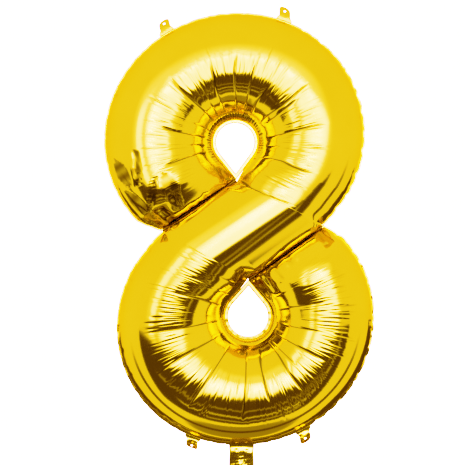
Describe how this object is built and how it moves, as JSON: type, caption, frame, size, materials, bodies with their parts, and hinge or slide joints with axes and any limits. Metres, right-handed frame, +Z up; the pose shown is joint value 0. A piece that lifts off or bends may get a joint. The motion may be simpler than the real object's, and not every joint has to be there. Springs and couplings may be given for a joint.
{
  "type": "foil number balloon",
  "caption": "Inflated figure-eight balloon of mirror-bright gold foil: one puffed tube in an S round two holes, with welded seam, hanging tabs and a filling tail.",
  "frame": {"origin": "centre of the box round the inflated balloon, its tabs and its tail", "axes": "+Z up as it hangs, -Y towards the reader (the front), +X to the reader's right; the welded seam lies in the plane Y = 0"},
  "size_m": [0.54, 0.1712, 0.9662],
  "materials": {
    "gold_foil": "mirror-bright gold metallised film",
    "seam_foil": "heat-sealed double gold film, slightly duller",
    "tab_foil": "heat-sealed double gold film, curled",
    "tail_foil": "crinkled gold metallised film",
    "valve_film": "clear milky film"
  },
  "bodies": {
    "envelope": {"front_foil_panel": "gold_foil", "back_foil_panel": "gold_foil", "welded_seam": "seam_foil", "valve_front_film": "valve_film", "valve_back_film": "valve_film"},
    "tail": {"tail_front_foil": "tail_foil", "tail_back_foil": "tail_foil", "valve_inlet_front_film": "valve_film", "valve_inlet_back_film": "valve_film"},
    "top_left_tab": {"top_left_tab": "tab_foil"},
    "top_right_tab": {"top_right_tab": "tab_foil"},
    "bottom_left_tab": {"bottom_left_tab": "tab_foil"},
    "bottom_right_tab": {"bottom_right_tab": "tab_foil"}
  },
  "joints": [
    {"name": "top_left_tab_fold", "type": "hinge", "parent": "envelope", "child": "top_left_tab", "pos_m": [-0.14453, 0, 0.42952], "axis": [0.8569, 0, 0.5154], "range_deg": [-90, 90], "stiffness_Nm_per_rad": 0.00006},
    {"name": "top_right_tab_fold", "type": "hinge", "parent": "envelope", "child": "top_right_tab", "pos_m": [0.08987, 0, 0.45327], "axis": [0.9407, 0, -0.3392], "range_deg": [-90, 90], "stiffness_Nm_per_rad": 0.00006},
    {"name": "bottom_left_tab_fold", "type": "hinge", "parent": "envelope", "child": "bottom_left_tab", "pos_m": [-0.09237, 0, -0.37576], "axis": [-0.9343, 0, 0.3565], "range_deg": [-90, 90], "stiffness_Nm_per_rad": 0.00006},
    {"name": "bottom_right_tab_fold", "type": "hinge", "parent": "envelope", "child": "bottom_right_tab", "pos_m": [0.12749, 0, -0.3614], "axis": [-0.8868, 0, -0.4622], "range_deg": [-90, 90], "stiffness_Nm_per_rad": 0.00006},
    {"name": "tail_fold", "type": "hinge", "parent": "envelope", "child": "tail", "pos_m": [0.00462, 0, -0.39357], "axis": [1, 0, 0], "range_deg": [-90, 90], "stiffness_Nm_per_rad": 0.0002}
  ]
}
